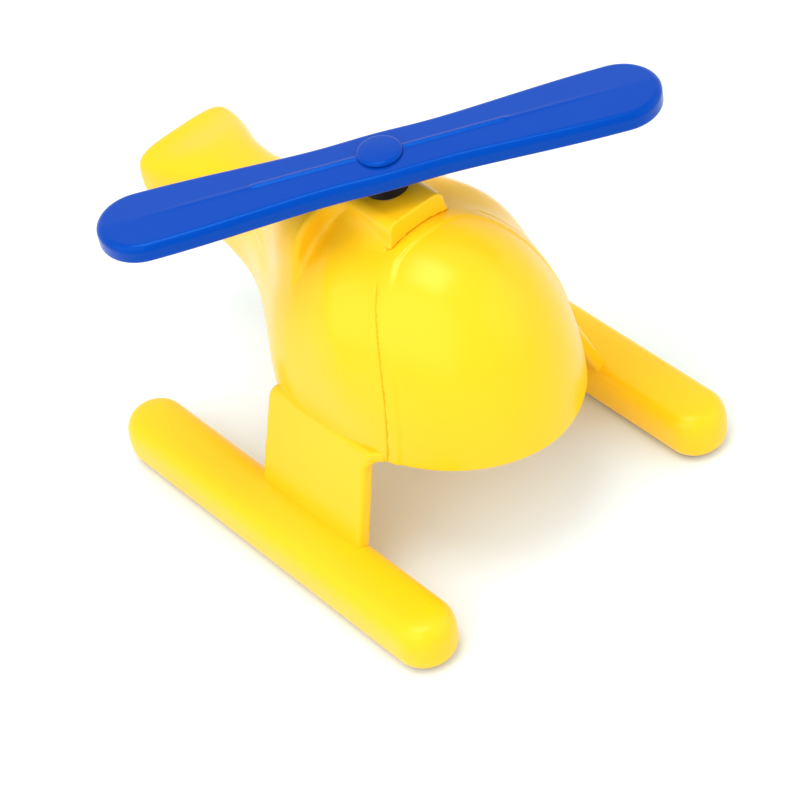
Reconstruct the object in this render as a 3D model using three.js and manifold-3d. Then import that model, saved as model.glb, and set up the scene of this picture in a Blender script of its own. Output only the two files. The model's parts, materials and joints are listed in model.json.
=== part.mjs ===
// Toy helicopter: a hollow yellow body on two skids, with a two-blade rotor that spins on a pin.
// Millimetres, +Z up, nose towards -Y, tail towards +Y. The skids stand on z = 0.
import * as THREE from 'three';
import { mergeVertices } from 'three/addons/utils/BufferGeometryUtils.js';
import Module from 'manifold-3d';

// ---- driving dimensions ----
const SKID_LENGTH = 119;
const SKID_WIDTH = 16.3;
const SKID_HEIGHT = 14.2;
const SKID_X = 45.6;            // skid centre line, each side of the body
const TAIL_END = 84.2;          // rearmost point of the tail boom, from the skids' middle
const BELLY_Z = 36;             // lower rim of the body
const DOME_Y = -15.7;           // where the cabin dome is widest and highest
const DOME_HALF_WIDTH = 31.8;
const DOME_LENGTH = 37.4;        // from DOME_Y forward to the nose
const DOME_HEIGHT = 47;         // above the belly
const DOME_PLAN_POWER = 1.9;    // 2 is an ellipse; less is more pointed
const DOME_RISE_POWER = 2.15;
const WALL = 2.2;
const GAP = 0.35;               // clearance between pieces that only meet
const PLATEAU_Z = 88.8;         // flat top of the mast cowl
const PYLON_HALF_WIDTH = 8;
const PYLON_FRONT = -15.4;
const COWL_FRONT = 4.5;         // forward face of the shoulder cowls
const ROTOR_Y = -5.3;
const ROTOR_LENGTH = 135;
const ROTOR_WIDTH = 16;         // beside the hub
const TIP_WIDTH = 20.8;         // the blades widen towards their round tips
const ROTOR_THICK = 5.2;
const ROTOR_Z = 95.2;           // underside of the blades
const ROTOR_REST = -28;         // degrees from +X at rest
const PIN_R = 1.6;
const RUNNING = 0.06;           // radial clearance of a turning fit
const SOLE = 1.8;               // thickness of the plates closing the skids' undersides
const PLATE_THICK = 2;          // belly plate
const PLATE_Z = BELLY_Z + 0.3;
const PLATE_REAR = 44;
const LIP_DEPTH = 3;            // the cabin's locating lip, behind the joint
const LIP_THICK = 1.6;
const LIP_OFFSET = 0.3 - WALL;
const POST_R = 3.4;             // screw posts inside both shells
const HOLE_R = 1.6;
const SCREW_R = 1.4;
const SCREW_HEAD_R = 2.9;
const SCREW_POSTS = { canopy: [[13, -38]], body: [[17, -12.5], [17, 6]] };
const STRUT_THICK = 3.6;
const STRUT_TOP_Z = 38.8;
const STRUT_TOP_X = 31.9;       // strut's mid plane at the height of the belly
const FOOT_X = 39.8;            // and where it meets the skid
const STRUT_FRONT = { foot: -25.1, top: -22.9 };
const STRUT_REAR = { foot: 12.3, top: 13.4 };
const TONGUE = { y0: -17, y1: 5, half: 1.2, depth: 3.4 };
const FLANGE = { inner: 11, z0: BELLY_Z - GAP - 2.4, z1: BELLY_Z - GAP };
const FAR = 150;                // beyond every surface

// ---- solids ----
const wasm = await Module();
wasm.setup();

// A closed three.js geometry as a solid that can be cut and joined.
function solid(geometry) {
  geometry.deleteAttribute('normal');
  geometry.deleteAttribute('uv');
  const merged = mergeVertices(geometry, 1e-4);
  const index = merged.index.array;
  const triangles = [];
  for (let i = 0; i < index.length; i += 3) {
    const [a, b, c] = [index[i], index[i + 1], index[i + 2]];
    if (a !== b && b !== c && c !== a) triangles.push(a, b, c);
  }
  const vertProperties = new Float32Array(merged.attributes.position.array);
  const triVerts = new Uint32Array(triangles);
  return new wasm.Manifold(new wasm.Mesh({ numProp: 3, vertProperties, triVerts }));
}

function geometryOf(body) {
  const mesh = body.getMesh();
  const geometry = new THREE.BufferGeometry();
  geometry.setAttribute('position', new THREE.BufferAttribute(new Float32Array(mesh.vertProperties), 3));
  geometry.setIndex(new THREE.BufferAttribute(new Uint32Array(mesh.triVerts), 1));
  return geometry;
}

function box(x0, y0, z0, x1, y1, z1) {
  const block = new THREE.BoxGeometry(x1 - x0, y1 - y0, z1 - z0);
  return solid(block.translate((x0 + x1) / 2, (y0 + y1) / 2, (z0 + z1) / 2));
}

// An upright cylinder between two heights.
function rod(x, y, radius, z0, z1, sides = 16) {
  const post = new THREE.CylinderGeometry(radius, radius, z1 - z0, sides);
  return solid(post.rotateX(Math.PI / 2).translate(x, y, (z0 + z1) / 2));
}

// A turned piece about the rotor's axis: pairs of radius and height, closed on the axis or on themselves.
function turned(profile, sides = 24) {
  const points = profile.map(([radius, z]) => new THREE.Vector2(radius, z));
  const lathe = new THREE.LatheGeometry(points, sides);
  return solid(lathe.rotateX(Math.PI / 2).translate(0, ROTOR_Y, 0));
}

// A body swept along Y through the given stations: place(y, side, up) gives the point of the section at y
// in the direction (side, up).
function loft(place, stations, sides) {
  const tube = new THREE.CylinderGeometry(1, 1, 1, sides, stations.length - 1);
  const position = tube.attributes.position;
  for (let i = 0; i < position.count; i += 1) {
    const side = position.getX(i);
    const up = position.getZ(i);
    const y = stations[Math.round((position.getY(i) + 0.5) * (stations.length - 1))];
    const [x, z] = place(y, side, up);
    position.setXYZ(i, x, y, z);
  }
  return solid(tube);
}

// Evenly spaced stations, both ends included.
function evenly(y0, y1, count) {
  return Array.from({ length: count + 1 }, (_, i) => y0 + (y1 - y0) * i / count);
}

// Stations for a bar of half length `half` whose ends are rounded over `round`, closer towards the tips.
function roundEnded(half, round, arc, middle) {
  const turns = evenly(0, Math.PI / 2, arc).slice(1);
  const tip = turns.map((turn) => half - round + round * Math.sin(turn));
  return [...tip.map((y) => -y).reverse(), ...evenly(round - half, half - round, middle), ...tip];
}

// ---- body shape ----
// Smooth value at y through stations [y, value], level beyond the first and last.
function along(stations, y) {
  const last = stations.length - 1;
  if (y <= stations[0][0]) return stations[0][1];
  if (y >= stations[last][0]) return stations[last][1];
  const i = stations.findIndex((station, k) => k < last && y < stations[k + 1][0]);
  const slope = (k) => {
    if (k <= 0 || k >= last) return 0;
    return (stations[k + 1][1] - stations[k - 1][1]) / (stations[k + 1][0] - stations[k - 1][0]);
  };
  const span = stations[i + 1][0] - stations[i][0];
  const t = (y - stations[i][0]) / span;
  const [a, b] = [stations[i][1], stations[i + 1][1]];
  const ease = t * t * (3 - 2 * t);
  const bend = t * (1 - t) * (1 - t) * slope(i) - t * t * (1 - t) * slope(i + 1);
  return a + (b - a) * ease + span * bend;
}

const step = (a, b, v) => THREE.MathUtils.smoothstep(v, a, b);
const smoothMax = (a, b, k) => Math.max(a, b) + Math.max(k - Math.abs(a - b), 0) ** 2 / (4 * k);

// Distance from the section's centre to a superellipse in the direction (side, up).
function superRadius(halfWidth, height, power, side, up) {
  const sum = (Math.abs(side) / halfWidth) ** power + (Math.abs(up) / height) ** power;
  return sum ** (-1 / power);
}

// Lower body: half width, and the height of its rounded top, along y.
const HALF_WIDTH = [
  [-34, 28.6], [-28, 30.4], [-16, 32.4], [-2, 33.2], [6, 32.8], [14, 30.2], [28, 20.8], [40, 13.8],
  [50, 10.8], [62, 10.7], [80, 14.9],
];
const TOP = [[-16, 83.6], [4, 82.2], [16, 77.5], [34, 71], [50, 67.5], [66, 66], [80, 63.2]];
const FULLNESS = [[-26, 2.15], [-12, 2.65], [0, 2.45], [10, 2.3], [24, 2.2], [60, 2.8], [80, 3.6]];
// Shoulder cowls beside the mast, from COWL_FRONT back.
const COWL_HALF_WIDTH = [[COWL_FRONT, 24], [14, 22.5], [28, 15.5], [40, 9.5], [50, 6]];
const COWL_TOP = [[COWL_FRONT, 87], [16, 85], [30, 78], [44, 69], [52, 64]];
const UNDERSIDE = [[45, BELLY_Z], [60, 40.6], [72, 45], [80, 48]];
const CENTRE = [[12, BELLY_Z], [50, 50], [80, 55.5]];
const END_ROUND = 4;            // length of the rounding at the tail's end

// Section of the rear body, mast cowl and tail boom; inset moves the surface inwards.
function bodySection(y, side, up, inset = 0) {
  const centre = along(CENTRE, y);
  const length = Math.hypot(side, up);
  if (length < 1e-9) return [0, centre];
  const [s, u] = [side / length, up / length];
  const nearEnd = Math.min(1, Math.max(0, (y - (TAIL_END - inset - END_ROUND)) / END_ROUND));
  const end = 0.55 + 0.45 * Math.sqrt(1 - nearEnd * nearEnd);
  const halfWidth = (along(HALF_WIDTH, y) - inset) * (0.45 + 0.55 * end);
  if (u < 0) {
    const depth = Math.max(0.02, (centre - along(UNDERSIDE, y) - inset) * end);
    const radius = superRadius(halfWidth, depth, 4, s, u);
    return [s * radius, centre + u * radius];
  }
  const rise = (top) => (top - centre - inset) * end;
  let radius = superRadius(halfWidth, rise(along(TOP, y)), along(FULLNESS, y), s, u);
  if (y >= COWL_FRONT) {
    const cowl = superRadius(along(COWL_HALF_WIDTH, y) - inset, rise(along(COWL_TOP, y)), 4, s, u);
    radius = smoothMax(radius, cowl, 5);
  }
  const fade = 1 - step(12, 44, y);
  const mast = superRadius(PYLON_HALF_WIDTH - inset, PLATEAU_Z - centre - inset, 4, s, u);
  radius += (smoothMax(radius, mast, 8) - radius) * fade;
  return [s * radius, centre + u * radius];
}

// Cabin dome, grown or shrunk by an offset: a ball drawn out to a blunt, slightly pointed nose.
function dome(offset, around, rings) {
  const ball = new THREE.SphereGeometry(1, around, rings).rotateX(Math.PI / 2);
  const position = ball.attributes.position;
  for (let i = 0; i < position.count; i += 1) {
    const [x, y, z] = [position.getX(i), position.getY(i), position.getZ(i)];
    const flat = Math.hypot(x, y);
    const plan = flat < 1e-9 ? 0 : superRadius(1, 1, DOME_PLAN_POWER, x / flat, y / flat);
    const spread = plan * flat ** (2 / DOME_RISE_POWER) / Math.max(flat, 1e-9);
    const rise = Math.sign(z) * Math.abs(z) ** (2 / DOME_RISE_POWER);
    const across = x * spread * (DOME_HALF_WIDTH + offset);
    const ahead = y * spread * (DOME_LENGTH + offset);
    position.setXYZ(i, across, ahead, rise * (DOME_HEIGHT + offset));
  }
  return solid(ball.translate(0, DOME_Y, BELLY_Z));
}

// An outline drawn in the plane of y and z, thickened to both sides of x = 0.
function slab(shape, x0, x1) {
  const settings = { depth: x1 - x0, bevelEnabled: false, curveSegments: 12 };
  const block = new THREE.ExtrudeGeometry(shape, settings);
  const toY = new THREE.Vector3(0, 1, 0);
  const toZ = new THREE.Vector3(0, 0, 1);
  const toX = new THREE.Vector3(1, 0, 0);
  block.applyMatrix4(new THREE.Matrix4().makeBasis(toY, toZ, toX)).translate(x0, 0, 0);
  return solid(block);
}

// Everything in front of the arched joint between the cabin and the rear body, up to a height.
const ARCH_TOP = [-12.6, 83];
const ARCH_FOOT = [-27.5, BELLY_Z];
const ARCH_BOW = [-32.5, 64];   // pulls the joint line forward at mid height
const ARCH_RUN = 20;            // from the joint's top, back to the height FAR
function inFrontOfArch(shift, top = FAR) {
  const outline = new THREE.Shape();
  outline.moveTo(-FAR, 0);
  outline.lineTo(ARCH_FOOT[0] + shift, 0);
  outline.lineTo(ARCH_FOOT[0] + shift, ARCH_FOOT[1]);
  outline.quadraticCurveTo(ARCH_BOW[0] + shift, ARCH_BOW[1], ARCH_TOP[0] + shift, ARCH_TOP[1]);
  outline.lineTo(ARCH_TOP[0] + shift + ARCH_RUN, FAR);
  outline.lineTo(-FAR, FAR);
  return slab(outline, -FAR, FAR).intersect(box(-FAR, -FAR, 0, FAR, FAR, top));
}

const belowRim = () => box(-FAR, -FAR, 0, FAR, FAR, BELLY_Z);

function screwPosts(list, roofed) {
  let posts = null;
  for (const [x, y] of list) {
    for (const sign of [-1, 1]) {
      const post = rod(sign * x, y, POST_R, PLATE_Z + PLATE_THICK + 0.3, PLATEAU_Z).intersect(roofed);
      posts = posts ? posts.add(post) : post;
    }
  }
  return posts;
}

function screwHoles(list) {
  let holes = null;
  for (const [x, y] of list) {
    for (const sign of [-1, 1]) {
      const hole = rod(sign * x, y, HOLE_R, BELLY_Z - 8, BELLY_Z + 13);
      holes = holes ? holes.add(hole) : hole;
    }
  }
  return holes;
}

// ---- pieces ----
const pieces = new THREE.Group();
const paints = {
  yellow: new THREE.MeshStandardMaterial({ color: 0xffd21c, roughness: 0.3, metalness: 0 }),
  blue: new THREE.MeshStandardMaterial({ color: 0x0a4fd0, roughness: 0.28, metalness: 0 }),
  black: new THREE.MeshStandardMaterial({ color: 0x15151a, roughness: 0.45, metalness: 0 }),
  white: new THREE.MeshStandardMaterial({ color: 0xe9e6dc, roughness: 0.5, metalness: 0 }),
  steel: new THREE.MeshStandardMaterial({ color: 0xb9bcc2, roughness: 0.35, metalness: 1 }),
};

function piece(name, body, paint) {
  const mesh = new THREE.Mesh(geometryOf(body), paints[paint].clone());
  mesh.name = name;
  pieces.add(mesh);
}

const TAIL_TIP = [0.4, 0.75, 0.93, 1].map((t) => TAIL_END - END_ROUND * (1 - t));
const BEFORE_COWL = COWL_FRONT - 0.6;
const BODY_STATIONS = [
  ...evenly(-38, BEFORE_COWL, 9), ...evenly(COWL_FRONT, TAIL_END - END_ROUND, 15), ...TAIL_TIP,
];
const HOLLOW_STATIONS = [
  ...evenly(-40, BEFORE_COWL, 7), ...evenly(COWL_FRONT, TAIL_END - WALL - END_ROUND, 9),
];
const bodyOuter = loft((y, s, u) => bodySection(y, s, u), BODY_STATIONS, 32);
const bodyInner = loft((y, s, u) => bodySection(y, s, u, WALL), HOLLOW_STATIONS, 20);
const mastBoss = rod(0, ROTOR_Y, 6, 66, PLATEAU_Z - 1);
const bearingSeat = rod(0, ROTOR_Y, 3.3, 60, PLATEAU_Z + 5);

// The belly's outline in plan, brought in by a margin, between two heights.
function bellyPrism(margin, z0, z1) {
  const outline = new THREE.Shape();
  const [halfWidth, length] = [DOME_HALF_WIDTH - margin, DOME_LENGTH - margin];
  const nose = evenly(0, Math.PI / 2, 8).slice(1).map((turn) => {
    const [side, ahead] = [Math.sin(turn), Math.cos(turn)];
    const reach = superRadius(halfWidth, length, DOME_PLAN_POWER, side, ahead);
    return [side * reach, DOME_Y - ahead * reach];
  });
  const stations = evenly(DOME_Y, PLATE_REAR, 8).slice(1);
  const flank = stations.map((y) => [along(HALF_WIDTH, y) - margin - 0.8, y]);
  const right = [...nose, ...flank];
  outline.moveTo(0, DOME_Y - length);
  for (const [x, y] of right) outline.lineTo(x, y);
  for (const [x, y] of right.reverse()) outline.lineTo(-x, y);
  const prism = new THREE.ExtrudeGeometry(outline, { depth: z1 - z0, bevelEnabled: false });
  return solid(prism.translate(0, 0, z0));
}

function fuselageShell() {
  const flange = inFrontOfArch(LIP_DEPTH + GAP).subtract(dome(LIP_OFFSET + GAP, 24, 14));
  let shell = bodyOuter.subtract(bodyInner.subtract(flange)).add(mastBoss);
  shell = shell.add(screwPosts(SCREW_POSTS.body, bodyOuter));
  shell = shell.subtract(screwHoles(SCREW_POSTS.body)).subtract(bearingSeat);
  const opening = bellyPrism(WALL + 0.3, BELLY_Z - 2, PLATE_Z + PLATE_THICK + GAP);
  shell = shell.subtract(opening.intersect(box(-FAR, DOME_Y, 0, FAR, FAR, FAR)));
  shell = shell.subtract(box(-FAR, -FAR, ARCH_TOP[1] - 2, FAR, PYLON_FRONT, FAR));
  shell = shell.subtract(inFrontOfArch(0, ARCH_TOP[1] + 1));
  shell = shell.subtract(dome(GAP, 36, 20).intersect(inFrontOfArch(0)));
  return shell.subtract(belowRim());
}

function canopyShell() {
  const skin = dome(0, 36, 20).subtract(dome(-WALL, 24, 14)).intersect(inFrontOfArch(-GAP));
  const lip = dome(LIP_OFFSET, 24, 14).subtract(dome(LIP_OFFSET - LIP_THICK, 24, 14));
  const abovePlate = box(-FAR, -FAR, PLATE_Z + PLATE_THICK + GAP, FAR, FAR, FAR);
  const band = inFrontOfArch(LIP_DEPTH, 70).subtract(inFrontOfArch(-4));
  const ring = lip.intersect(band).intersect(abovePlate);
  let shell = skin.add(ring).add(screwPosts(SCREW_POSTS.canopy, dome(-0.8, 24, 14)));
  shell = shell.subtract(screwHoles(SCREW_POSTS.canopy));
  return shell.subtract(belowRim());
}

// Plate closing the body's open underside, inside the rim of both shells.
function bellyPlate() {
  const plate = bellyPrism(WALL + 0.3 + GAP, PLATE_Z, PLATE_Z + PLATE_THICK);
  return plate.subtract(screwHoles([...SCREW_POSTS.canopy, ...SCREW_POSTS.body]));
}

// ---- skids ----
const SKID_ROUND = SKID_WIDTH / 2;

// Section of a skid: flat sole, upright sides, softly crowned top; round ends in plan.
function skidSection(y, side, up, inset) {
  const half = SKID_LENGTH / 2 - inset;
  const round = SKID_ROUND - inset;
  const toEnd = Math.max(0, (Math.abs(y) - (half - round)) / round);
  const end = Math.sqrt(Math.max(0.01, 1 - toEnd * toEnd));
  const length = Math.hypot(side, up);
  const middle = SKID_HEIGHT * 0.46;
  if (length < 1e-9) return [0, middle];
  const [s, u] = [side / length, up / length];
  const halfWidth = (SKID_WIDTH / 2 - inset) * end;
  const crown = (SKID_HEIGHT - middle - inset) * (0.55 + 0.45 * end);
  const keel = (middle - inset) * (0.72 + 0.28 * end);
  const [height, power] = u > 0 ? [crown, 2.9] : [keel, 3.3];
  const radius = superRadius(halfWidth, height, power, s, u);
  return [s * radius, middle + u * radius];
}

function skidShell(side) {
  const half = SKID_LENGTH / 2;
  const stations = roundEnded(half, SKID_ROUND, 5, 2);
  const innerStations = roundEnded(half - WALL, SKID_ROUND - WALL, 3, 1);
  const outer = loft((y, s, u) => skidSection(y, s, u, 0), stations, 20);
  const inner = loft((y, s, u) => skidSection(y, s, u, WALL), innerStations, 12);
  const mouth = inner.intersect(box(-FAR, -FAR, 0, FAR, FAR, 6)).translate(0, 0, -3);
  const x = side * (FOOT_X - SKID_X);
  const reach = TONGUE.half + 0.3;
  const slot = box(x - reach, TONGUE.y0 - 0.3, 8, x + reach, TONGUE.y1 + 0.3, SKID_HEIGHT + 2);
  return outer.subtract(inner).subtract(mouth).subtract(slot).translate(side * SKID_X, 0, 0);
}

function skidSole(side) {
  const margin = WALL + GAP;
  const stations = roundEnded(SKID_LENGTH / 2 - margin, SKID_ROUND - margin, 3, 1);
  const cut = loft((y, s, u) => skidSection(y, s, u, margin), stations, 12);
  const flat = cut.translate(0, 0, -3).intersect(box(-FAR, -FAR, 0, FAR, FAR, SOLE));
  return flat.translate(side * SKID_X, 0, 0);
}

// Flat splayed plate with rounded upper corners, a tongue into the skid and a flange under the belly.
function strut(side) {
  const corner = 4;
  const flare = 3.2;
  const outline = new THREE.Shape();
  outline.moveTo(STRUT_FRONT.foot, SKID_HEIGHT + GAP);
  outline.lineTo(STRUT_REAR.foot, SKID_HEIGHT + GAP);
  outline.lineTo(STRUT_REAR.top, STRUT_TOP_Z - corner);
  outline.quadraticCurveTo(STRUT_REAR.top, STRUT_TOP_Z, STRUT_REAR.top - corner, STRUT_TOP_Z);
  outline.lineTo(STRUT_FRONT.top - flare, STRUT_TOP_Z);
  outline.lineTo(STRUT_FRONT.top - flare, BELLY_Z);
  outline.quadraticCurveTo(STRUT_FRONT.top, BELLY_Z, STRUT_FRONT.top, BELLY_Z - flare);
  const lean = (STRUT_TOP_X - FOOT_X) / (BELLY_Z - SKID_HEIGHT);
  const splay = (x, y, z) => [x + FOOT_X + lean * (z - SKID_HEIGHT), y, z];
  const upright = slab(outline, -STRUT_THICK / 2, STRUT_THICK / 2);
  const splayed = upright.warp((vertex) => {
    [vertex[0], vertex[1], vertex[2]] = splay(...vertex);
  });
  const { half, y0, y1, depth } = TONGUE;
  const tongue = box(FOOT_X - half, y0, SKID_HEIGHT - depth, FOOT_X + half, y1, SKID_HEIGHT + 2);
  const [front, rear] = [STRUT_FRONT.top + 4, STRUT_REAR.top - 5];
  const outer = STRUT_TOP_X + lean * (FLANGE.z0 - BELLY_Z);
  const flange = box(FLANGE.inner, front, FLANGE.z0, outer, rear, FLANGE.z1);
  let plate = splayed.add(tongue).add(flange).subtract(bodyGrown);
  plate = plate.subtract(screwHoles(SCREW_POSTS.body));
  return side < 0 ? plate.mirror([1, 0, 0]) : plate;
}
const bodyGrown = loft((y, s, u) => bodySection(y, s, u, -GAP), evenly(-38, 40, 24), 32)
  .add(dome(GAP, 36, 20)).intersect(box(-FAR, -FAR, BELLY_Z - GAP, FAR, FAR, FAR));

// ---- rotor ----
// Two blades in one moulding: round tips, softened upper edges and a swelling at the hub.
function rotorBlade() {
  const half = ROTOR_LENGTH / 2;
  const round = TIP_WIDTH / 2;
  const middle = ROTOR_Z + ROTOR_THICK * 0.42;
  const section = (y, side, up) => {
    const toEnd = Math.max(0, (Math.abs(y) - (half - round)) / round);
    const chord = ROTOR_WIDTH + (TIP_WIDTH - ROTOR_WIDTH) * step(4, half - round, Math.abs(y));
    const end = Math.sqrt(Math.max(0.01, 1 - toEnd * toEnd));
    const length = Math.hypot(side, up);
    if (length < 1e-9) return [0, middle];
    const [s, u] = [side / length, up / length];
    const hub = 0.7 * Math.exp(-((y / 11) ** 2));
    const above = (ROTOR_Z + ROTOR_THICK - middle) * (0.6 + 0.4 * end);
    const below = (middle - ROTOR_Z) * (0.6 + 0.4 * end);
    const radius = superRadius((chord / 2 + hub) * end, u > 0 ? above : below, 3.4, s, u);
    return [s * radius, middle + u * radius];
  };
  const bar = loft(section, roundEnded(half, round, 5, 10), 20);
  const placed = bar.rotate([0, 0, ROTOR_REST - 90]).translate(0, ROTOR_Y, 0);
  const bore = rod(0, ROTOR_Y, PIN_R + 0.3, ROTOR_Z - 2, ROTOR_Z + 9);
  const seat = rod(0, ROTOR_Y, 4.2, ROTOR_Z + 3.4, ROTOR_Z + 9);
  return placed.subtract(bore).subtract(seat);
}

// ---- assembly ----
piece('fuselage_shell', fuselageShell(), 'yellow');
piece('canopy_shell', canopyShell(), 'yellow');
piece('belly_plate', bellyPlate(), 'yellow');
for (const [name, side] of [['left', 1], ['right', -1]]) {
  piece(`strut_${name}`, strut(side), 'yellow');
  piece(`skid_${name}`, skidShell(side), 'yellow');
  piece(`skid_sole_${name}`, skidSole(side), 'yellow');
}
piece('rotor_blade', rotorBlade(), 'blue');

// Cap pressed into the top of the hub; its rim stands just above the blades.
const TOP_Z = ROTOR_Z + ROTOR_THICK;
piece('rotor_hub_cap', turned([
  [0, ROTOR_Z + 4.2], [3.8, ROTOR_Z + 4.2], [3.8, TOP_Z + 0.35], [5.5, TOP_Z + 0.35], [5.3, TOP_Z + 0.85],
  [4.6, TOP_Z + 1.15], [0, TOP_Z + 1.25],
]), 'blue');
// Black spacer between the mast and the hub.
piece('rotor_bush', turned([
  [PIN_R + 0.25, PLATEAU_Z + 1.6], [5.6, PLATEAU_Z + 1.6], [5.6, ROTOR_Z - 1], [5, ROTOR_Z - 0.4],
  [PIN_R + 0.25, ROTOR_Z - 0.4], [PIN_R + 0.25, PLATEAU_Z + 1.6],
]), 'black');
// Plain sleeve in the mast, which the pin turns in.
piece('axle_bearing', turned([
  [PIN_R + RUNNING, 64.5], [5, 64.5], [5, 65.7], [3, 65.7], [3, PLATEAU_Z + 1.2],
  [PIN_R + RUNNING, PLATEAU_Z + 1.2], [PIN_R + RUNNING, 64.5],
]), 'white');
// Steel pin with a flat head in the hub and a groove near its lower end.
piece('rotor_axle', turned([
  [0, 57], [PIN_R - 0.3, 57], [PIN_R, 57.4], [PIN_R, 58.6], [PIN_R - 0.4, 58.6], [PIN_R - 0.4, 59.8],
  [PIN_R, 59.8], [PIN_R, ROTOR_Z + 3.7], [3.4, ROTOR_Z + 3.7], [3.4, ROTOR_Z + 4], [0, ROTOR_Z + 4],
]), 'steel');
piece('axle_washer', turned([
  [PIN_R + 0.2, 62.6], [4.6, 62.6], [4.6, 63.4], [PIN_R + 0.2, 63.4], [PIN_R + 0.2, 62.6],
]), 'steel');
piece('axle_retainer', turned([
  [PIN_R - 0.34, 58.7], [3.8, 58.7], [4.4, 60.4], [3.7, 60.4], [3.4, 59.7],
  [PIN_R - 0.34, 59.7], [PIN_R - 0.34, 58.7],
]), 'steel');

// Pan-head screws, driven up from below.
function screw(x, y, seat) {
  const shank = rod(x, y, SCREW_R, seat - 0.2, BELLY_Z + 12, 10);
  const head = rod(x, y, SCREW_HEAD_R, seat - 1.9, seat - 0.3, 16);
  const neck = rod(x, y, SCREW_R, seat - 0.6, seat, 10);
  const drive = box(x - 2, y - 0.4, seat - 3, x + 2, y + 0.4, seat - 1.2);
  const cross = box(x - 0.4, y - 2, seat - 3, x + 0.4, y + 2, seat - 1.2);
  return head.add(neck).add(shank).subtract(drive).subtract(cross);
}
for (const [name, side] of [['left', 1], ['right', -1]]) {
  const [canopyX, canopyY] = SCREW_POSTS.canopy[0];
  piece(`canopy_screw_${name}`, screw(side * canopyX, canopyY, BELLY_Z + 0.2), 'steel');
  ['front', 'rear'].forEach((end, i) => {
    const [x, y] = SCREW_POSTS.body[i];
    piece(`strut_screw_${name}_${end}`, screw(side * x, y, FLANGE.z0), 'steel');
  });
}

// Export frame: the whole object's box is centred on the origin in plan.
const group = new THREE.Group();
pieces.position.set(0, -(TAIL_END - SKID_LENGTH / 2) / 2, 0);
group.add(pieces);

export default group;
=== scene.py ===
import json
import math

import bpy
import numpy as np
from mathutils import Euler, Matrix, Vector


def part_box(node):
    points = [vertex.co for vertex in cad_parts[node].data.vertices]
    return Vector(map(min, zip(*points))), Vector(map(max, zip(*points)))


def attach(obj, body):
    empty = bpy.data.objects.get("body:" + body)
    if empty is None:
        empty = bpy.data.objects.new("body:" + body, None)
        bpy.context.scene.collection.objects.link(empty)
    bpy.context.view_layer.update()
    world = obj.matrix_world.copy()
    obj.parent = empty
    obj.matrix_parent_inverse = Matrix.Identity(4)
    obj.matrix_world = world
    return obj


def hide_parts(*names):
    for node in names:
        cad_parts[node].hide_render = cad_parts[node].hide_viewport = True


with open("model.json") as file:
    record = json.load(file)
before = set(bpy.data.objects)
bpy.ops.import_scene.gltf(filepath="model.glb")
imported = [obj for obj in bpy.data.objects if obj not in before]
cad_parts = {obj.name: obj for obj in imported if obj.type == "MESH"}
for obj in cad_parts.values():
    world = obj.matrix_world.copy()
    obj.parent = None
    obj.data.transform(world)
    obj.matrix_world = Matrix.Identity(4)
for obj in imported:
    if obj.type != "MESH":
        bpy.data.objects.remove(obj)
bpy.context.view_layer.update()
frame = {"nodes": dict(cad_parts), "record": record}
MM = 0.001


def node_mm(node):
    """Lowest and highest corners of a CAD node in millimetres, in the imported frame."""
    return [np.array(corner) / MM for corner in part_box(node)]


# ---- places taken from the frame ----
skid_low, skid_high = node_mm("skid_left")
body_low, body_high = node_mm("fuselage_shell")
bush_low, bush_high = node_mm("rotor_bush")
blade_low, blade_high = node_mm("rotor_blade")
cap_low, cap_high = node_mm("rotor_hub_cap")
plate_high = node_mm("belly_plate")[1]

MIDDLE = (skid_low[1] + skid_high[1]) / 2      # the skids' middle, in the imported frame
SHIFT = np.array((0, MIDDLE, 0))               # from the toy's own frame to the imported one
SKID_X = (skid_low[0] + skid_high[0]) / 2
SKID_HALF_LENGTH = (skid_high[1] - skid_low[1]) / 2
SKID_HALF_WIDTH = (skid_high[0] - skid_low[0]) / 2
SKID_TOP = skid_high[2]
SKID_BOTTOM = skid_low[2]
BELLY = body_low[2]
TAIL_END = body_high[1] - MIDDLE
ROTOR_Y = (bush_low[1] + bush_high[1]) / 2 - MIDDLE
BUSH_RADIUS = (bush_high[0] - bush_low[0]) / 2
BLADE_BOTTOM = blade_low[2]
BLADE_TOP = blade_high[2]
CAP_RADIUS = (cap_high[0] - cap_low[0]) / 2
PLATE_GAP = 0.35               # round the belly plate
PLATE_END = plate_high[1] - MIDDLE + PLATE_GAP
PLATE_CEILING = plate_high[2]
WALL = 2.2


# ---- tools for fields ----
TINY = 1e-6                    # keeps powers and quotients away from zero


def round_max(a, b, radius):
    """What two solids share, its edge rounded off."""
    over = np.hypot(np.maximum(a + radius, 0), np.maximum(b + radius, 0))
    return np.minimum(np.maximum(a, b), -radius) + over


def round_min(a, b, radius):
    """Two solids joined, the inner corner between them filled with a fillet."""
    under = np.hypot(np.maximum(radius - a, 0), np.maximum(radius - b, 0))
    return np.maximum(np.minimum(a, b), radius) - under


def ramp(low, high, value):
    """0 below low, 1 above high, smooth between them."""
    t = np.clip((value - low) / (high - low), 0, 1)
    return t * t * (3 - 2 * t)


def along(stations, y):
    """Smooth value at y through stations (y, value), level beyond the first and last."""
    at = np.array([station[0] for station in stations], float)
    value = np.array([station[1] for station in stations], float)
    slope = np.zeros(len(at))
    slope[1:-1] = (value[2:] - value[:-2]) / (at[2:] - at[:-2])
    inside = np.clip(y, at[0], at[-1])
    i = np.clip(np.searchsorted(at, inside, side="right") - 1, 0, len(at) - 2)
    span = at[i + 1] - at[i]
    t = (inside - at[i]) / span
    ease = t * t * (3 - 2 * t)
    bend = t * (1 - t) ** 2 * slope[i] - t * t * (1 - t) * slope[i + 1]
    return value[i] + (value[i + 1] - value[i]) * ease + span * bend


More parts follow.
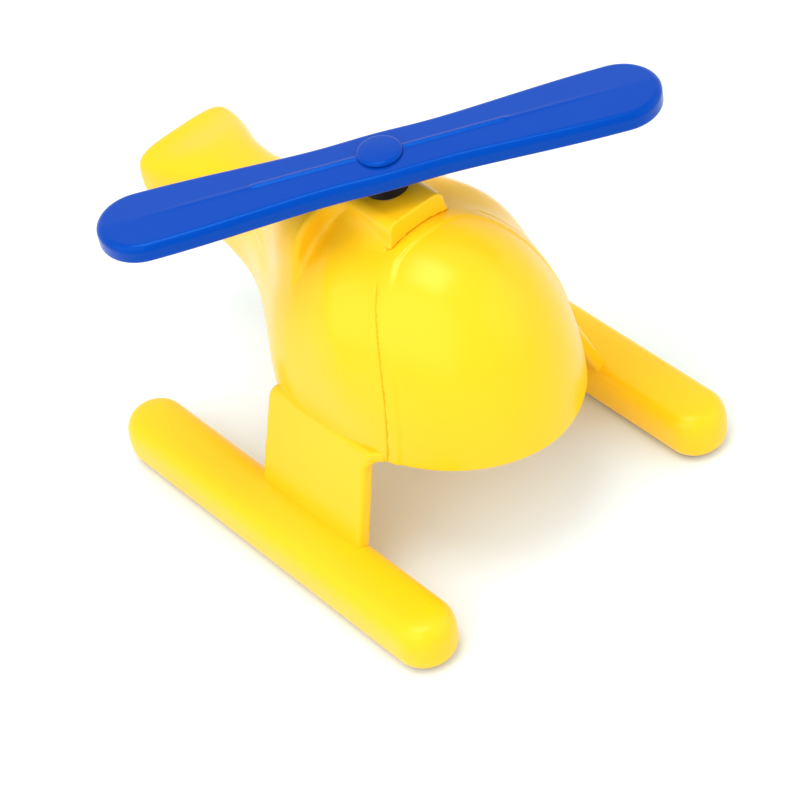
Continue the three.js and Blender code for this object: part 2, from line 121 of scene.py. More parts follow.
def superellipse(x, z, half_width, height, power):
    """Distance to the curve |x / half_width| ** power + |z / height| ** power = 1."""
    side = np.maximum(np.abs(x) / half_width, TINY)
    up = np.maximum(np.abs(z) / height, TINY)
    side_slope = side ** (power - 1)
    up_slope = up ** (power - 1)
    reach = (side_slope * side + up_slope * up) ** (1 / power)
    slope = np.hypot(side_slope / half_width, up_slope / height) * reach ** (1 - power)
    return (reach - 1) / slope


# ---- rear body ----
# Along y: half width, height of the rounded top and its fullness, height of the underside behind the
# belly, and the height where the section is widest.
HALF_WIDTH = [
    (-34, 28.6), (-28, 30.4), (-16, 32.4), (-2, 33.2), (6, 32.8), (14, 30.2), (28, 20.8), (40, 13.8),
    (50, 10.8), (62, 10.7), (80, 14.9),
]
TOP = [(-16, 83.6), (4, 82.2), (16, 77.5), (34, 71), (50, 67.5), (66, 66), (80, 63.2)]
FULLNESS = [(-26, 2.15), (-12, 2.65), (0, 2.45), (10, 2.3), (24, 2.2), (60, 2.8), (80, 3.6)]
UNDERSIDE = [(45, BELLY), (60, 40.6), (72, 45), (80, 48)]
CENTRE = [(12, BELLY), (50, 50), (80, 55.5)]
UNDERSIDE_FULLNESS = 4
LEAST_DEPTH = 2
RUN_ON = 12                    # sections run on below the belly, so that the flanks meet it upright
RUN_ON_FADE = (28, 48)         # y over which that ends
TAIL_EDGE = 3.2

COWL_FRONT = 4.5
COWL_HALF_WIDTH = [(COWL_FRONT, 24.6), (14, 23), (28, 15.5), (40, 9.5), (50, 6)]
COWL_TOP = [(COWL_FRONT, 87.4), (16, 85), (30, 78), (44, 69), (52, 60)]
COWL_FULLNESS = 5
COWL_LEAST_HEIGHT = 4
COWL_EDGE = 1.6
COWL_FILLET = 2.2

PYLON_FRONT = -15.4
PYLON_HALF_WIDTH = 8
PYLON_TOP = 88.8
PYLON_FOOT = 66                # inside the body
PYLON_SPLAY = 0.15             # the flanks widen by this for each mm down
PYLON_BACK = (30, 70)          # y and z of a point on its back, which slopes at 45 degrees
PYLON_EDGE = 2.2
PYLON_FILLET = 1.5             # at its front face
PYLON_FILLET_GROWTH = 4
PYLON_FILLET_FADE = (-15, -3)  # y over which the fillet grows

JOINT_FLARE = 12               # over this length the body grows from the cabin's size to its own
BEAD_WIDTH = 3.0               # raised band round the cabin's rear rim
BEAD_HEIGHT = 0.4
BEAD_FADE = 0.5


def hull(x, y, z):
    """Rear body and tail boom without cowl and pylon."""
    centre = along(CENTRE, y)
    rise = z - centre
    depth = centre - along(UNDERSIDE, y) + RUN_ON * (1 - ramp(*RUN_ON_FADE, y))
    height = np.where(rise > 0, along(TOP, y) - centre, np.maximum(depth, LEAST_DEPTH))
    power = np.where(rise > 0, along(FULLNESS, y), UNDERSIDE_FULLNESS)
    return superellipse(x, rise, along(HALF_WIDTH, y), height, power)


def cowl(x, y, z):
    """The two shoulders beside and behind the mast, with an upright front face."""
    centre = along(CENTRE, y)
    height = np.maximum(along(COWL_TOP, y) - centre, COWL_LEAST_HEIGHT)
    section = superellipse(x, z - centre, along(COWL_HALF_WIDTH, y), height, COWL_FULLNESS)
    return round_max(section, COWL_FRONT - y, COWL_EDGE)


def pylon(x, y, z):
    """The mast's flat-topped pylon between the shoulders."""
    flank = np.abs(x) - PYLON_HALF_WIDTH - PYLON_SPLAY * (PYLON_TOP - z)
    block = round_max(flank, z - PYLON_TOP, PYLON_EDGE)
    back = y - PYLON_BACK[0] + (z - PYLON_BACK[1])
    return np.maximum(block, np.maximum(PYLON_FOOT - z, back))


def outer_body(x, y, z):
    """The rear body as a solid, flush with the cabin's rim at the joint."""
    settled = ramp(0, JOINT_FLARE, arch(y, z))
    shape = settled * hull(x, y, z) + (1 - settled) * (dome(x, y, z) - BEAD_HEIGHT)
    shape = round_min(shape, cowl(x, y, z), COWL_FILLET)
    fillet = PYLON_FILLET + PYLON_FILLET_GROWTH * ramp(*PYLON_FILLET_FADE, y)
    shape = round_min(shape, pylon(x, y, z), fillet)
    return round_max(shape, y - TAIL_END, TAIL_EDGE)


# ---- cabin dome and the arched joint behind it ----
DOME_Y = -15.7
DOME_HALF_WIDTH = 31.8
DOME_LENGTH = 37.4
DOME_HEIGHT = 47
PLAN_POWER = 1.9
RISE_POWER = 2.15

# Seen from the side the joint is a parabola from foot to top, whose tangents there meet at the bow.
# Each point is y and z.
ARCH_FOOT = (-27.5, BELLY)
ARCH_BOW = (-32.5, 64)
ARCH_TOP = (-12.6, 83)
ARCH_LEAN = 0.54               # above its top the joint runs back with this slope
SEAM = 0.03                    # half the joint's width


def dome(x, y, z):
    """Distance to an ovoid, slightly pointed in plan."""
    side = np.maximum(np.abs(x) / DOME_HALF_WIDTH, TINY)
    ahead = np.maximum(np.abs(y - DOME_Y) / DOME_LENGTH, TINY)
    up = np.maximum(np.abs(z - BELLY) / DOME_HEIGHT, TINY)
    plan = (side ** PLAN_POWER + ahead ** PLAN_POWER) ** (1 / PLAN_POWER)
    reach = (plan ** RISE_POWER + up ** RISE_POWER) ** (1 / RISE_POWER)
    outward = (plan / reach) ** (RISE_POWER - 1)
    side_slope = outward * (side / plan) ** (PLAN_POWER - 1) / DOME_HALF_WIDTH
    ahead_slope = outward * (ahead / plan) ** (PLAN_POWER - 1) / DOME_LENGTH
    up_slope = (up / reach) ** (RISE_POWER - 1) / DOME_HEIGHT
    return (reach - 1) / np.sqrt(side_slope ** 2 + ahead_slope ** 2 + up_slope ** 2)


def arch(y, z):
    """Distance behind the joint; negative in front of it."""
    rise = ARCH_BOW[1] - ARCH_FOOT[1]
    bend = ARCH_TOP[1] - 2 * ARCH_BOW[1] + ARCH_FOOT[1]
    height = np.clip(z - ARCH_FOOT[1], 0, ARCH_TOP[1] - ARCH_FOOT[1])
    t = (np.sqrt(rise ** 2 + bend * height) - rise) / bend
    pull = ARCH_BOW[0] - ARCH_FOOT[0]
    curl = ARCH_TOP[0] - 2 * ARCH_BOW[0] + ARCH_FOOT[0]
    joint = ARCH_FOOT[0] + 2 * pull * t + curl * t * t + ARCH_LEAN * np.maximum(z - ARCH_TOP[1], 0)
    slope = (pull + curl * t) / (rise + bend * t)
    return (y - joint) / np.sqrt(1 + slope ** 2)


# ---- the two shells ----
BODY_POSTS = [(17, -12.5), (17, 6)]            # x and y of posts, which stand in pairs left and right
CANOPY_POSTS = [(13, -38)]
POST_RADIUS = 3.4
POST_FOOT = 2.6                # above the belly
POST_INSET = 1                 # below the dome's surface
HOLE_RADIUS = 1.6
HOLE_DEPTH = 13
FLANGE_LENGTH = 3.35           # the body's rim is solid at least this far behind the joint
FLANGE_DEPTH = 1.55            # and this far below the dome's surface
RIM_WIDTH = 1.1                # ledge inside the wall, round the belly plate
MAST_RADIUS = 6
BORE_RADIUS = 3.3
JOINT_EDGE = 0.3
BEAD_CLEARANCE = 0.1           # where the pylon's foot runs out over the bead
SHELL_EDGE = 0.7
UNDERLAP = 1.2                 # near the arch's top the cabin's rim runs on under the body
UNDERLAP_FADE = (ARCH_TOP[1] - 6, ARCH_TOP[1] - 3.5)
LIP_DEPTH = 2.7                # the lip's middle, below the dome's surface
LIP_HALF_THICK = 0.8
LIP_BEHIND = 3                 # its reach behind the joint and in front of it
LIP_AHEAD = 4
LIP_TOP = 82


def post(x, y, at, radius):
    """A pair of upright round posts, mirrored across the toy's middle."""
    return np.hypot(np.abs(x) - at[0], y - at[1]) - radius


def drilled(shape, x, y, z, posts):
    """The shape with a blind screw hole up every post."""
    for at in posts:
        shape = np.maximum(shape, -np.maximum(post(x, y, at, HOLE_RADIUS), z - BELLY - HOLE_DEPTH))
    return shape


def fuselage(x, y, z):
    """Hollow rear body with screw posts, a core in the mast and an open underside."""
    outside = outer_body(x, y, z)
    joint = arch(y, z)
    ball = dome(x, y, z)
    from_mast = np.hypot(x, y - ROTOR_Y)
    flange = np.maximum(joint - FLANGE_LENGTH, -(ball + FLANGE_DEPTH))
    hollow = np.maximum(outside + WALL, -flange)
    floor_behind_plate = np.maximum(PLATE_END - y, z - BELLY - WALL)
    hollow = np.maximum(hollow, -floor_behind_plate)
    rim = np.abs(x) - along(HALF_WIDTH, y) + WALL + RIM_WIDTH
    opening = np.maximum(np.maximum(rim, y - PLATE_END), z - PLATE_CEILING - PLATE_GAP)
    hollow = np.minimum(hollow, opening)
    for at in BODY_POSTS:
        column = np.maximum(post(x, y, at, POST_RADIUS), BELLY + POST_FOOT - z)
        hollow = np.maximum(hollow, -column)
    core = np.maximum(from_mast - MAST_RADIUS, PYLON_FOOT - z)
    hollow = np.maximum(hollow, -core)
    shape = drilled(np.maximum(outside, -hollow), x, y, z, BODY_POSTS)
    shape = np.maximum(shape, BORE_RADIUS - from_mast)
    shape = round_max(shape, np.minimum(SEAM - joint, PYLON_FRONT - y), JOINT_EDGE)
    shape = np.maximum(shape, -np.maximum(joint - SEAM, ball - BEAD_HEIGHT - BEAD_CLEARANCE))
    return round_max(shape, BELLY - z, SHELL_EDGE)


def canopy(x, y, z):
    """Hollow cabin with a raised rear rim, a lip under the body's rim and two screw posts."""
    joint = -arch(y, z)
    ball = dome(x, y, z)
    from_rim = np.minimum(joint, PYLON_FRONT - y)
    bead = BEAD_HEIGHT * (1 - ramp(BEAD_WIDTH - BEAD_FADE, BEAD_WIDTH + BEAD_FADE, from_rim))
    shape = np.maximum(ball - bead, -(ball + WALL))
    shape = round_max(shape, SEAM - joint - UNDERLAP * ramp(*UNDERLAP_FADE, z), JOINT_EDGE)
    lip = np.maximum(np.abs(ball + LIP_DEPTH) - LIP_HALF_THICK,
                     np.maximum(-LIP_BEHIND - joint, joint - LIP_AHEAD))
    lip = np.maximum(lip, np.maximum(z - LIP_TOP, PLATE_CEILING + PLATE_GAP - z))
    shape = np.minimum(shape, lip)
    for at in CANOPY_POSTS:
        ends = np.maximum(BELLY + POST_FOOT - z, ball + POST_INSET)
        shape = np.minimum(shape, np.maximum(post(x, y, at, POST_RADIUS), ends))
    return round_max(drilled(shape, x, y, z, CANOPY_POSTS), BELLY - z, SHELL_EDGE)


# ---- skids: round-ended bars, full at mid height, with a nearly flat top face ----
SKID_MIDDLE = 6.53             # height where they are widest
SKID_CROWN = 7.9               # height of the rounded part above that
SKID_CREASE = 0.012            # how much the top face falls away, per mm squared
CROWN_FULLNESS = 2.9
KEEL_FULLNESS = 3.3
SKID_EDGE = 0.9
SOLE_EDGE = 0.6
CAVITY_SPRING = 6              # below this height the cavity's walls are upright

FOOT_X = 39.8                  # mid plane of the strut's tongue, which sits in a slot in the skid
TONGUE_HALF_THICK = 1.2
TONGUE_Y = (-17, 5)
TONGUE_DEPTH = 3.4             # below the skid's top
TONGUE_RISE = 2                # above it
SLOT_PLAY = 0.1
SLOT_FLOOR = 8                 # height above the ground


def skid(x, y, z, inset=0.0):
    """A left skid as a solid, or its surface moved inwards."""
    past = np.maximum(np.abs(y) - SKID_HALF_LENGTH + SKID_HALF_WIDTH, 0)
    reach = np.hypot(x - SKID_X, past)
    rise = z - SKID_MIDDLE
    crown = superellipse(reach, rise, SKID_HALF_WIDTH, SKID_CROWN, CROWN_FULLNESS)
    keel = superellipse(reach, rise, SKID_HALF_WIDTH, SKID_MIDDLE, KEEL_FULLNESS)
    top = z - SKID_TOP + SKID_CREASE * reach ** 2
    return round_max(np.where(rise > 0, crown, keel), top, SKID_EDGE) + inset


def upright(x, y, half_thick, start, end):
    """An upright slab on the tongue's mid plane, between two places along y."""
    return np.maximum(np.abs(x - FOOT_X) - half_thick, np.maximum(start - y, y - end))


def runner(x, y, z):
    """The hollow left skid, open below, with a slot for the tongue."""
    cavity = np.minimum(skid(x, y, z, WALL), skid(x, y, np.maximum(z, CAVITY_SPRING), WALL))
    slot = upright(x, y, TONGUE_HALF_THICK + SLOT_PLAY, TONGUE_Y[0] - SLOT_PLAY, TONGUE_Y[1] + SLOT_PLAY)
    shape = np.maximum(skid(x, y, z), -cavity)
    shape = np.maximum(shape, -np.maximum(slot, SLOT_FLOOR - z))
    return round_max(shape, SKID_BOTTOM - z, SOLE_EDGE)


# ---- struts: splayed flat plates between the body's flank and the skid ----
STRUT_TOP_X = 31.9             # the plate's mid plane at the belly
STRUT_HALF_THICK = 1.8
STRUT_FRONT = (-25.1, -22.9)   # y at the foot and at the belly
STRUT_REAR = (12.3, 13.4)
STRUT_TOP = 38.8
STRUT_LEAN = (STRUT_TOP_X - FOOT_X) / (BELLY - SKID_TOP)
STRUT_EDGE = 1.2
STRUT_TOP_EDGE = 1
STRUT_REAR_EDGE = 3.6
ARM_FILLET = 3.4               # under the arm that runs forward along the belly
ARM_END = ARCH_FOOT[0] + 0.3   # just behind the joint's foot
SKID_SINK = 0.3                # how deep the plate sinks into the skid and into the body
BODY_SINK = 0.8
BELLY_LAP = 0.1                # the body's cut into the plate starts this far below the belly

# How far the plate may stand out from the body's flank: a little at the arm's end, more further back.
PROUD_LEAST = 0.3
PROUD_STEPS = [(3, -27.2, -21), (12, -21, -8)]         # mm more, between two places along y
PROUD_DROP = 0.6               # and more for each mm below the belly
PROUD_DEPTH = 4                # limited down to this far below the belly
PROUD_EDGE = 0.8

TAB_DEPTH = 1.6                # middle of the screwed tab, below the belly
TAB_HALF_THICK = 1.2
TAB_Y = (-19, 8.4)
TAB_START = 11                 # from the toy's middle
TAB_LAP = 1                    # past the plate's mid plane
TAB_EDGE = 0.5
TAB_FILLET = 0.8


def too_proud(x, y, z):
    """Negative where the plate keeps near enough to the flank."""
    limit = hull(x, y, z) - PROUD_LEAST
    for growth, start, end in PROUD_STEPS:
        limit = limit - growth * ramp(start, end, y)
    limit = limit - PROUD_DROP * np.maximum(BELLY - z, 0)
    return np.minimum(limit, z - BELLY + PROUD_DEPTH)


def strut(x, y, z):
    """The left strut: plate, tongue in the skid and tab under the belly."""
    climb = (z - SKID_TOP) / (BELLY - SKID_TOP)
    slant = math.hypot(1, STRUT_LEAN)
    face = np.abs(x - FOOT_X - STRUT_LEAN * (z - SKID_TOP)) / slant - STRUT_HALF_THICK
    front = STRUT_FRONT[0] + (STRUT_FRONT[1] - STRUT_FRONT[0]) * climb - y
    rear = y - STRUT_REAR[0] - (STRUT_REAR[1] - STRUT_REAR[0]) * climb
    edge = np.maximum(round_min(front, BELLY - z, ARM_FILLET), ARM_END - y)
    outline = round_max(round_max(edge, z - STRUT_TOP, STRUT_TOP_EDGE), rear, STRUT_REAR_EDGE)
    plate = round_max(outline, face, STRUT_EDGE)
    plate = np.maximum(plate, np.maximum(-skid(x, y, z, SKID_SINK), SKID_MIDDLE - z))
    plate = np.maximum(plate, -np.maximum(hull(x, y, z) + BODY_SINK, BELLY - BELLY_LAP - z))
    plate = round_max(plate, too_proud(x, y, z), PROUD_EDGE)
    tab = round_max(np.abs(z - BELLY + TAB_DEPTH) - TAB_HALF_THICK,
                    np.maximum(TAB_Y[0] - y, y - TAB_Y[1]), TAB_EDGE)
    tab = round_max(tab, np.maximum(TAB_START - x, x - STRUT_TOP_X - TAB_LAP), TAB_EDGE)
    tongue = np.maximum(upright(x, y, TONGUE_HALF_THICK, *TONGUE_Y),
                        np.maximum(SKID_TOP - TONGUE_DEPTH - z, z - SKID_TOP - TONGUE_RISE))
    shape = np.minimum(round_min(plate, tab, TAB_FILLET), tongue)
    for at in BODY_POSTS:
        shape = np.maximum(shape, -post(x, y, at, HOLE_RADIUS))
    return shape


# ---- rotor, cap and bush ----
REST_ANGLE = math.radians(-28)
ROTOR_HALF_LENGTH = 67.5
ROOT_HALF_WIDTH = 8.0
TIP_HALF_WIDTH = 10.4
ROOT_END = 4                   # from here the blades widen towards their tips
HUB_SWELL = 0.7                # extra half width round the hub
HUB_SPREAD = 11
RIB_HEIGHT = 0.34              # inner part of the rib along the blades
RIB_FADE = (29, 32)
RIDGE_HEIGHT = 0.1             # fainter part, which runs further out
RIDGE_FADE = (40, 60)
RIB_SPREAD = 0.6
BLADE_FALL = 0.35              # from the middle line to the edge
BLADE_EDGE = 1.7
BLADE_UNDER_EDGE = 0.9
PIN_HOLE = 1.9
POCKET_RADIUS = 4.2            # for the cap's stem
POCKET_FLOOR = 3.4             # above the blades' underside

CAP_FALL = 0.012               # per mm squared
CAP_EDGE = 0.8
CAP_LAP = 0.02                 # the cap's disc starts this far below the blades' top
STEM_RADIUS = 3.8
STEM_LAP = 0.4                 # and its stem ends this far above it

BUSH_EDGE = 0.8
BUSH_FOOT_EDGE = 0.4
BUSH_BORE = 1.85


def rotor(x, y, z):
    """Both blades, worked out along them (v) and across them (w)."""
    v = x * math.cos(REST_ANGLE) + (y - ROTOR_Y) * math.sin(REST_ANGLE)
    w = -x * math.sin(REST_ANGLE) + (y - ROTOR_Y) * math.cos(REST_ANGLE)
    run = np.abs(v)
    tip = ROTOR_HALF_LENGTH - TIP_HALF_WIDTH
    chord = ROOT_HALF_WIDTH + (TIP_HALF_WIDTH - ROOT_HALF_WIDTH) * ramp(ROOT_END, tip, run)
    chord = chord + HUB_SWELL * np.exp(-(v / HUB_SPREAD) ** 2)
    plan = np.hypot(w, np.maximum(run - tip, 0)) - chord
    spine = RIB_HEIGHT * (1 - ramp(*RIB_FADE, run)) + RIDGE_HEIGHT * (1 - ramp(*RIDGE_FADE, run))
    rib = spine * np.exp(-(w / RIB_SPREAD) ** 2)
    top = z - BLADE_TOP + BLADE_FALL * np.abs(w) / chord - rib
    shape = round_max(plan, top, BLADE_EDGE)
    shape = round_max(shape, BLADE_BOTTOM - z, BLADE_UNDER_EDGE)
    from_pin = np.hypot(v, w)
    shape = np.maximum(shape, PIN_HOLE - from_pin)
    return np.maximum(shape, -np.maximum(from_pin - POCKET_RADIUS, BLADE_BOTTOM + POCKET_FLOOR - z))


def hub_cap(x, y, z):
    """The low disc on the rotor's middle, with its stem."""
    reach = np.hypot(x, y - ROTOR_Y)
    head = round_max(reach - CAP_RADIUS, z - cap_high[2] + CAP_FALL * reach ** 2, CAP_EDGE)
    head = np.maximum(head, BLADE_TOP - CAP_LAP - z)
    stem = np.maximum(reach - STEM_RADIUS, np.maximum(cap_low[2] - z, z - BLADE_TOP - STEM_LAP))
    return np.minimum(head, stem)


def bush(x, y, z):
    """The black ring between rotor and mast."""
    reach = np.hypot(x, y - ROTOR_Y)
    ring = round_max(reach - BUSH_RADIUS, z - bush_high[2], BUSH_EDGE)
    ring = round_max(ring, bush_low[2] - z, BUSH_FOOT_EDGE)
    return np.maximum(ring, BUSH_BORE - reach)


def sided(field, side):
    """A left shape as it is (side 1) or mirrored to the right (side -1)."""
    return lambda x, y, z: field(side * x, y, z)


# ---- from a field to a mesh ----
CELL = 0.55             # of the grid that a field is sampled on
MARGIN_CELLS = 2.5             # round a node's box
FACES_KEPT = 0.35
SLOPE_STEP = 0.02              # mm either way, for moving points
NORMAL_STEP = 0.06             # the same, for shading
LEAST_SQUARE = 0.05            # of the slope, where the field is nearly level
SHORTEST = 1e-9                # keeps lengths away from zero
LEAST_AGREEMENT = 0.35         # cosine between a field's normal and its face's
CORNERS = [(i, j, k) for i in (0, 1) for j in (0, 1) for k in (0, 1)]


def sample(field, low, high, cell):
    """The field's values on a grid whose outermost layer counts as outside."""
    counts = np.ceil((high - low) / cell).astype(int) + 1
    xs, ys, zs = [low[i] + cell * np.arange(counts[i]) for i in range(3)]
    y, z = np.meshgrid(ys, zs, indexing="ij")
    value = np.ones(counts)
    for i in range(1, counts[0] - 1):
        value[i, 1:-1, 1:-1] = field(np.full_like(y, xs[i]), y, z)[1:-1, 1:-1]
    return value


def surface_net(value, low, cell):
    """Vertices and quads where a sampled field changes sign."""
    inside = value < 0
    shape = np.array(value.shape) - 1
    crossed = np.zeros(shape, int)
    for i, j, k in CORNERS:
        crossed += inside[i:shape[0] + i, j:shape[1] + j, k:shape[2] + k]
    at = np.argwhere((crossed > 0) & (crossed < 8))
    total = np.zeros((len(at), 3))
    hits = np.zeros(len(at))
    for start in CORNERS:
        for axis in range(3):
            if start[axis]:
                continue
            end = list(start)
            end[axis] = 1
            a = value[tuple((at + start).T)]
            b = value[tuple((at + end).T)]
            cut = (a < 0) != (b < 0)
            point = np.tile(np.array(start, float), (len(at), 1))
            point[:, axis] = np.where(cut, a / np.where(cut, a - b, 1), 0)
            total += point * cut[:, None]
            hits += cut
    vertices = low + cell * (at + total / hits[:, None])
    number = np.full(shape, -1)
    number[tuple(at.T)] = np.arange(len(at))
    quads = []
    for axis in range(3):
        near = np.take(inside, range(shape[axis]), axis)
        far = np.take(inside, range(1, shape[axis] + 1), axis)
        step_b, step_c = [np.eye(3, dtype=int)[(axis + turn) % 3] for turn in (1, 2)]
        for first, second, flip in ((near, far, False), (far, near, True)):
            edge = np.argwhere(first & ~second)
            ring = [edge - step_b - step_c, edge - step_c, edge, edge - step_b]
            quad = np.stack([number[tuple(corner.T)] for corner in ring], axis=1)
            quads.append(quad[:, ::-1] if flip else quad)
    return vertices, np.concatenate(quads)


def gradient(field, points, reach):
    """The field's slope at each point, measured over a short way on both sides."""
    slope = np.empty_like(points)
    for axis in range(3):
        ahead, behind = points.copy(), points.copy()
        ahead[:, axis] += reach
        behind[:, axis] -= reach
        slope[:, axis] = (field(*ahead.T) - field(*behind.T)) / (2 * reach)
    return slope


def settle(field, points, rounds, limit):
    """Moves points onto the field's surface."""
    for _ in range(rounds):
        slope = gradient(field, points, SLOPE_STEP)
        square = np.maximum((slope ** 2).sum(1), LEAST_SQUARE)
        move = slope * (field(*points.T) / square)[:, None]
        length = np.maximum(np.linalg.norm(move, axis=1), SHORTEST)
        points = points - move * np.minimum(1, limit / length)[:, None]
    return points


def corner_normals(mesh, normals):
    """The field's normal at every face corner, or the face's own where the two disagree."""
    corner = np.empty(len(mesh.loops), int)
    mesh.loops.foreach_get("vertex_index", corner)
    facing = np.empty(len(mesh.polygons) * 3)
    mesh.polygons.foreach_get("normal", facing)
    sides = np.empty(len(mesh.polygons), int)
    mesh.polygons.foreach_get("loop_total", sides)
    facing = np.repeat(facing.reshape(-1, 3), sides, axis=0)
    chosen = normals[corner]
    odd = (chosen * facing).sum(1) < LEAST_AGREEMENT
    chosen[odd] = facing[odd]
    return chosen


def mesh_from(name, field, low, high, cell):
    """An object with the field's surface inside a box: fine net, thinned, settled and shaded."""
    margin = MARGIN_CELLS * cell
    low, high = low - margin, high + margin
    points, quads = surface_net(sample(field, low, high, cell), low, cell)
    points = settle(field, points, 3, cell)
    net = bpy.data.meshes.new(name)
    net.from_pydata(points.tolist(), [], quads.tolist())
    made = bpy.data.objects.new(name, net)
    bpy.context.scene.collection.objects.link(made)
    thin = made.modifiers.new("thin", "DECIMATE")
    thin.ratio = FACES_KEPT
    graph = bpy.context.evaluated_depsgraph_get()
    mesh = bpy.data.meshes.new_from_object(made.evaluated_get(graph))
    made.modifiers.clear()
    made.data = mesh
    points = np.empty(len(mesh.vertices) * 3)
    mesh.vertices.foreach_get("co", points)
    points = settle(field, points.reshape(-1, 3), 2, cell / 2)
    normals = gradient(field, points, NORMAL_STEP)
    normals /= np.maximum(np.linalg.norm(normals, axis=1), SHORTEST)[:, None]
    mesh.vertices.foreach_set("co", ((points + SHIFT) * MM).ravel())
    mesh.update()
    mesh.shade_smooth()
    mesh.normals_split_custom_set(corner_normals(mesh, normals).tolist())
    return made


def piece(name, field, node, body, material, cell=CELL):
    """A fine surface in the place of one CAD node."""
    low, high = node_mm(node)
    made = mesh_from(name, field, low - SHIFT, high - SHIFT, cell)
    made.data.materials.clear()
    made.data.materials.append(material)
    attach(made, body)
    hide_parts(node)


# ---- materials ----
# Scales of noise, per metre.
CLOUDS = 45
SPECKS = 330
PORES = 420
SHEEN = 500
GRAIN = 1500

# Where in its range each noise begins and ends to show.
CLOUD_SPAN = (0.35, 0.75)
SPECK_SPAN = (0.66, 0.74)
SHEEN_SPAN = (0.3, 0.7)

CLOUD_SHARE = 0.35             # how far the colour drifts towards the deeper one
SHEEN_CHANGE = 0.02            # how much the roughness varies
PORE_STRENGTH = 0.03
PORE_HEIGHT = 0.000008
PLASTIC_IOR = 1.48


def blank(name):
    """A new material with its node tree and its shader."""
    material = bpy.data.materials.new(name)
    material.use_nodes = True
    return material, material.node_tree, material.node_tree.nodes["Principled BSDF"]


def noise(tree, scale, detail):
    """Noise in the piece's own coordinates."""
    place = tree.nodes.new("ShaderNodeTexCoord")
    made = tree.nodes.new("ShaderNodeTexNoise")
    made.inputs["Scale"].default_value = scale
    made.inputs["Detail"].default_value = detail
    tree.links.new(place.outputs["Object"], made.inputs["Vector"])
    return made.outputs["Fac"]


def span(tree, value, source, target):
    """The value moved from one range to another, and held at the ends."""
    made = tree.nodes.new("ShaderNodeMapRange")
    made.inputs["From Min"].default_value, made.inputs["From Max"].default_value = source
    made.inputs["To Min"].default_value, made.inputs["To Max"].default_value = target
    tree.links.new(value, made.inputs["Value"])
    return made.outputs["Result"]


def towards(tree, colour, share):
    """A mix whose second colour is the given one; its first is set by the caller."""
    made = tree.nodes.new("ShaderNodeMix")
    made.data_type = "RGBA"
    made.inputs["B"].default_value = (*colour, 1)
    tree.links.new(share, made.inputs["Factor"])
    return made


def plastic(name, colour, deep, gloss, roughness, speckle):
    """Glossy moulded plastic: soft colour clouds, small specks, uneven sheen and very fine pores."""
    material, tree, shader = blank(name)
    clouds = towards(tree, deep, span(tree, noise(tree, CLOUDS, 3), CLOUD_SPAN, (0, CLOUD_SHARE)))
    clouds.inputs["A"].default_value = (*colour, 1)
    specks = towards(tree, deep, span(tree, noise(tree, SPECKS, 1), SPECK_SPAN, (0, speckle)))
    tree.links.new(clouds.outputs["Result"], specks.inputs["A"])
    tree.links.new(specks.outputs["Result"], shader.inputs["Base Color"])
    sheen = span(tree, noise(tree, SHEEN, 2), SHEEN_SPAN, (roughness, roughness + SHEEN_CHANGE))
    tree.links.new(sheen, shader.inputs["Roughness"])
    shader.inputs["IOR"].default_value = PLASTIC_IOR
    shader.inputs["Specular Tint"].default_value = (*gloss, 1)
    pores = tree.nodes.new("ShaderNodeBump")
    pores.inputs["Strength"].default_value = PORE_STRENGTH
    pores.inputs["Distance"].default_value = PORE_HEIGHT
    tree.links.new(noise(tree, PORES, 2), pores.inputs["Height"])
    tree.links.new(pores.outputs["Normal"], shader.inputs["Normal"])
    return material


def metal(name, colour, roughness):
    """Plated metal with an uneven sheen; roughness is a range."""
    material, tree, shader = blank(name)
    shader.inputs["Base Color"].default_value = (*colour, 1)
    shader.inputs["Metallic"].default_value = 1
    tree.links.new(span(tree, noise(tree, GRAIN, 2), (0, 1), roughness), shader.inputs["Roughness"])
    return material


YELLOW = (0.96, 0.53, 0.008)
WARM_GLOSS = (1.0, 0.85, 0.45)
yellow = plastic("yellow_plastic", YELLOW, (0.96, 0.49, 0.004), WARM_GLOSS, 0.24, 0.1)
skid_yellow = plastic("skid_yellow_plastic", YELLOW, (0.96, 0.58, 0.0), WARM_GLOSS, 0.28, 0.4)
blue = plastic("blue_plastic", (0.0, 0.044, 0.35), (0.0, 0.040, 0.33), (0.06, 0.4, 1.0), 0.20, 0.15)
black = plastic("black_plastic", (0.004, 0.004, 0.005), (0.008, 0.008, 0.009), (0.08, 0.08, 0.08),
                0.45, 0.2)
white = plastic("sleeve_plastic", (0.78, 0.77, 0.72), (0.70, 0.69, 0.64), (1.0, 1.0, 1.0), 0.42, 0.2)
steel = metal("zinc_steel", (0.62, 0.63, 0.66), (0.25, 0.45))

# ---- pieces ----
piece("rear_body", fuselage, "fuselage_shell", "airframe", yellow)
piece("cabin_dome", canopy, "canopy_shell", "airframe", yellow)
for name, side in (("left", 1), ("right", -1)):
    piece(f"leg_{name}", sided(strut, side), f"strut_{name}", "airframe", yellow)
    piece(f"runner_{name}", sided(runner, side), f"skid_{name}", "airframe", skid_yellow)
piece("rotor", rotor, "rotor_blade", "rotor", blue, CELL * 0.7)
piece("hub_button", hub_cap, "rotor_hub_cap", "rotor", blue, CELL / 2)
piece("mast_bush", bush, "rotor_bush", "airframe", black, CELL / 2)

# The other nodes keep their CAD meshes, with their edges broken.
BEVEL = 0.0002
slot_material = {"body_yellow": yellow, "sleeve_white": white, "fastener_steel": steel}
node_slot = {row["node"]: row["material_slot"] for row in frame["record"]["subparts"]}
for node, made in frame["nodes"].items():
    if not made.hide_render:
        made.data.materials.clear()
        made.data.materials.append(slot_material[node_slot[node]])
        edge = made.modifiers.new("edge", "BEVEL")
        edge.width = BEVEL
        edge.segments = 2

# ---- studio ----
FLOOR_HALF = 3.0
FLOOR_COLOUR = (0.78, 0.86, 0.88)

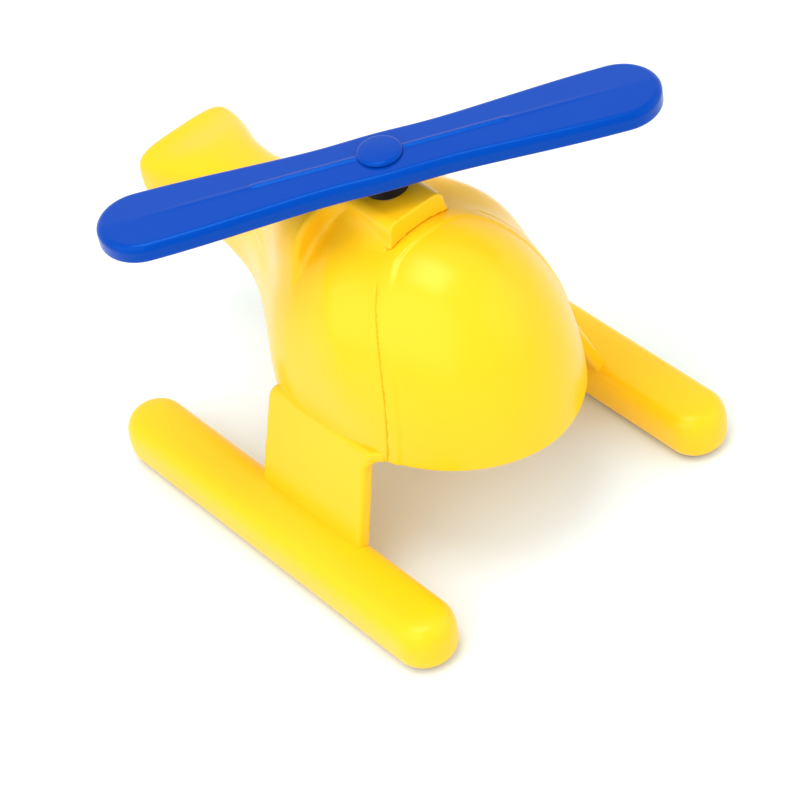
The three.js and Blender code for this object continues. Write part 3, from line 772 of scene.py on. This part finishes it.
scene = bpy.context.scene
scene.view_settings.view_transform = "Standard"
world = bpy.data.worlds.new("studio")
scene.world = world
world.use_nodes = True
world.node_tree.nodes["Background"].inputs["Color"].default_value = (1.0, 1.0, 1.0, 1)
world.node_tree.nodes["Background"].inputs["Strength"].default_value = 1.0

floor_mesh = bpy.data.meshes.new("floor")
floor_mesh.from_pydata(
    [(x * FLOOR_HALF, y * FLOOR_HALF, 0) for x, y in ((-1, -1), (1, -1), (1, 1), (-1, 1))],
    [], [(0, 1, 2, 3)])
floor = bpy.data.objects.new("floor", floor_mesh)
scene.collection.objects.link(floor)
paper, _, paper_shader = blank("paper")
paper_shader.inputs["Base Color"].default_value = (*FLOOR_COLOUR, 1)
paper_shader.inputs["Roughness"].default_value = 0.9
floor_mesh.materials.append(paper)


def softbox(name, place, aim_height, width, height, power):
    """A rectangular light that faces the toy's middle at some height."""
    light = bpy.data.lights.new(name, "AREA")
    light.shape = "RECTANGLE"
    light.size = width
    light.size_y = height
    light.energy = power
    made = bpy.data.objects.new(name, light)
    scene.collection.objects.link(made)
    made.location = place
    aim = Vector((0, 0, aim_height)) - Vector(place)
    made.rotation_euler = aim.to_track_quat("-Z", "Y").to_euler()


softbox("overhead", (-0.10, -0.03, 0.80), 0.05, 0.38, 0.38, 2.1)
softbox("left", (-0.80, -0.20, 0.60), 0.04, 1.2, 0.9, 4.4)
softbox("right", (0.60, -0.80, 0.55), 0.04, 1.2, 0.9, 2.4)

# ---- camera, at the photo's angle ----
CAMERA_PLACE = (-0.29436, -0.44316 + MIDDLE * MM, 0.52752)
CAMERA_TURN = (45.586, 8.575, -41.445)         # degrees about X, Y and Z
CAMERA_LENS = 132.34

camera = bpy.data.objects.new("camera", bpy.data.cameras.new("camera"))
scene.collection.objects.link(camera)
camera.data.lens = CAMERA_LENS
camera.data.sensor_width = 36
camera.data.clip_start = 0.01
camera.data.clip_end = 20
turn = Euler([math.radians(angle) for angle in CAMERA_TURN])
camera.matrix_world = Matrix.Translation(CAMERA_PLACE) @ turn.to_matrix().to_4x4()
scene.camera = camera
